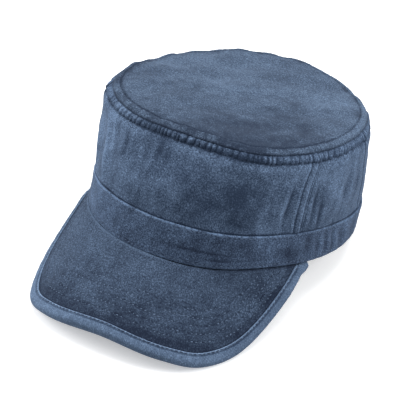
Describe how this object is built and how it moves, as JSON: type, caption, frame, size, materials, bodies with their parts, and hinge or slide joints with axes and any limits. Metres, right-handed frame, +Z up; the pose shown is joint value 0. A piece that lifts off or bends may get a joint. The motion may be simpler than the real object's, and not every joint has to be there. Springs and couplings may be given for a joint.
{
  "type": "kepi cap",
  "caption": "Washed cotton kepi cap: flat oval top, panelled wall with gathered top seam, folded head band and bound curved peak, resting by itself.",
  "frame": {"origin": "on the floor under the middle of the cap at rest, between the front of its peak and the back of its band", "axes": "+Z up, the cap's front and peak towards -Y, the wearer's left towards +X"},
  "size_m": [0.1778, 0.2606, 0.118],
  "materials": {
    "top_cotton": "matt washed twill, denim blue",
    "wall_cotton": "matt washed twill, denim blue, darker towards the front",
    "band_cotton": "matt washed twill, dark denim blue",
    "peak_cotton": "matt washed twill, dark denim blue, stitched in rows",
    "binding_cotton": "matt washed twill tape, lighter denim blue"
  },
  "bodies": {
    "root": {"crown_top": "top_cotton", "crown_front": "wall_cotton", "crown_side_left": "wall_cotton", "crown_side_right": "wall_cotton", "crown_back": "wall_cotton", "headband": "band_cotton", "peak": "peak_cotton", "peak_binding": "binding_cotton"}
  },
  "joints": []
}
